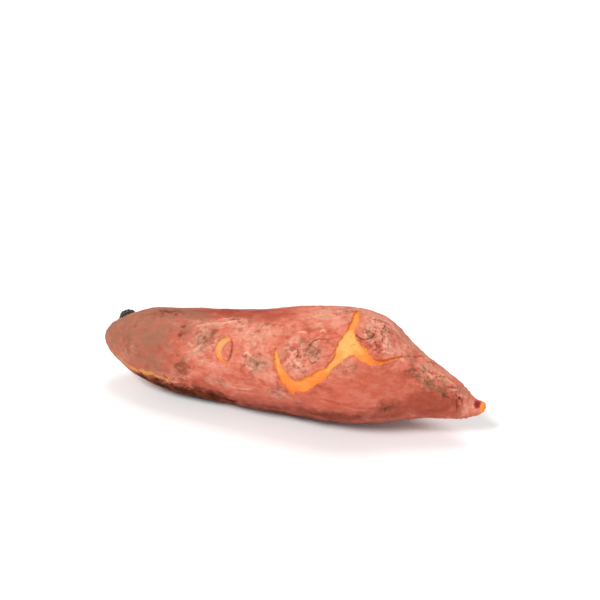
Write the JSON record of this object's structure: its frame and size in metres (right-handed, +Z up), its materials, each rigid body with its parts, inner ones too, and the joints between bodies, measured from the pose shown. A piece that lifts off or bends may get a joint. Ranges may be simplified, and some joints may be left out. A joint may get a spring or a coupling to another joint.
{
  "type": "sweet potato",
  "caption": "Whole baked sweet potato, a long tapered root with torn skin, a stalk stub and a root tip, lying on its belly.",
  "frame": {"origin": "middle of the footprint, on the surface that it rests on", "axes": "+X along the root from the stalk end to the root tip, +Z up, -Y towards the side with the torn skin"},
  "size_m": [0.21, 0.059, 0.0593],
  "materials": {
    "baked_skin": "thin baked skin, salmon to brick red, dusty on the ridges, torn open in places over orange flesh"
  },
  "bodies": {
    "root": {"sweet_potato": "baked_skin"}
  },
  "joints": []
}
